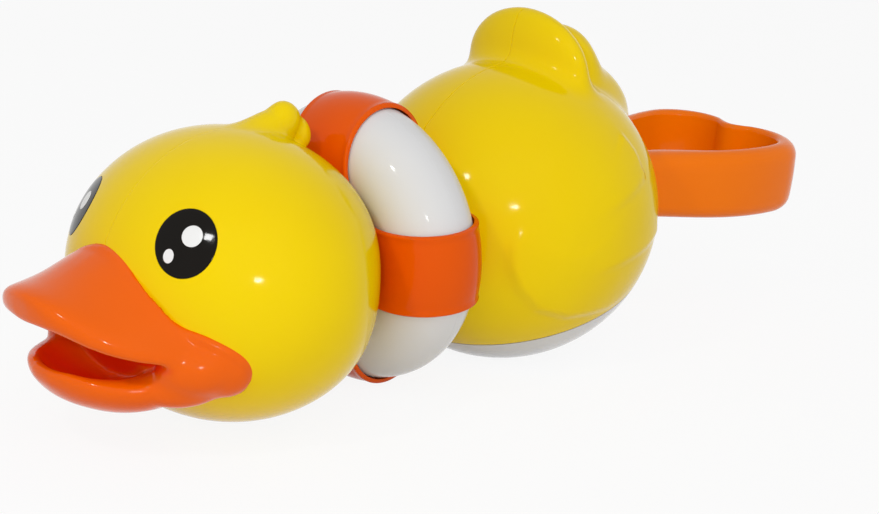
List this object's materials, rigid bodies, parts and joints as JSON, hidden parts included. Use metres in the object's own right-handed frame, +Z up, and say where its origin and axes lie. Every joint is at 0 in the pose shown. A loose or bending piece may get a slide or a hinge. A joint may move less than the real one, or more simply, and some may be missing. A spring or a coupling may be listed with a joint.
{
  "type": "rubber duck",
  "caption": "Bath duck with a swinging head, a lifebuoy round its neck and a pull ring at the tail that winds a cord reel inside its sealed body.",
  "frame": {"origin": "middle of the flat on the underside of the belly, on the surface the toy rests on", "axes": "+Z up, -Y towards the bill, +Y towards the pull ring, +X towards the duck's left side"},
  "size_m": [0.0744, 0.2335, 0.0851],
  "materials": {
    "yellow_shell": "hard glossy moulded plastic",
    "ivory_shell": "hard glossy moulded plastic",
    "band_orange": "hard glossy moulded plastic",
    "bill_orange": "hard glossy moulded plastic",
    "pull_orange": "hard glossy moulded plastic",
    "eye_black": "printed gloss ink",
    "eye_white": "printed gloss ink",
    "nylon": "satin",
    "steel": "satin",
    "weight_metal": "dull"
  },
  "bodies": {
    "body": {"body_shell_left": "yellow_shell", "body_shell_right": "yellow_shell", "belly_shell": "ivory_shell", "belly_screw_1": "steel", "belly_screw_2": "steel", "belly_screw_3": "steel", "belly_screw_4": "steel", "neck_collar": "yellow_shell", "gearbox_base": "nylon", "gearbox_lid": "nylon", "gearbox_screw_1": "steel", "gearbox_screw_2": "steel", "gearbox_screw_3": "steel", "gearbox_screw_4": "steel", "mainspring": "steel", "reel_axle": "steel", "crank_axle": "steel", "head_pivot_pin": "steel", "cord_bush": "nylon", "ballast_weight": "weight_metal"},
    "head": {"head_shell_left": "yellow_shell", "head_shell_right": "yellow_shell", "bill": "bill_orange", "left_eye": "eye_black", "right_eye": "eye_black", "left_eye_glint_1": "eye_white", "left_eye_glint_2": "eye_white", "right_eye_glint_1": "eye_white", "right_eye_glint_2": "eye_white", "lifebuoy_ring": "ivory_shell", "lifebuoy_band_1": "band_orange", "lifebuoy_band_2": "band_orange", "lifebuoy_band_3": "band_orange", "lifebuoy_band_4": "band_orange", "neck_yoke": "nylon"},
    "reel": {"reel": "nylon"},
    "crank": {"crank_gear": "nylon"},
    "pull_ring": {"pull_ring": "pull_orange"}
  },
  "joints": [
    {"name": "ring_pull", "type": "slide", "parent": "body", "child": "pull_ring", "axis": [0, 0.9921, 0.1253], "range_m": [0, 0.2], "stiffness_N_per_m": 4, "springref_m": -0.02},
    {"name": "reel_spin", "type": "hinge", "parent": "body", "child": "reel", "pos_m": [0, 0.00957, 0.03557], "axis": [0, -0.1253, 0.9921], "range_deg": [0, 877]},
    {"name": "crank_spin", "type": "hinge", "parent": "body", "child": "crank", "pos_m": [0, -0.01221, 0.03282], "axis": [0, -0.1253, 0.9921], "range_deg": [-1752, 0]},
    {"name": "head_swing", "type": "hinge", "parent": "body", "child": "head", "pos_m": [0, -0.02515, 0.03118], "axis": [0, -0.1253, 0.9921], "range_deg": [-6, 6]}
  ],
  "couplings": [
    {"joint": "reel_spin", "follows": "ring_pull", "rad_per_m": 76.336},
    {"joint": "crank_spin", "follows": "ring_pull", "rad_per_m": -152.67}
  ]
}
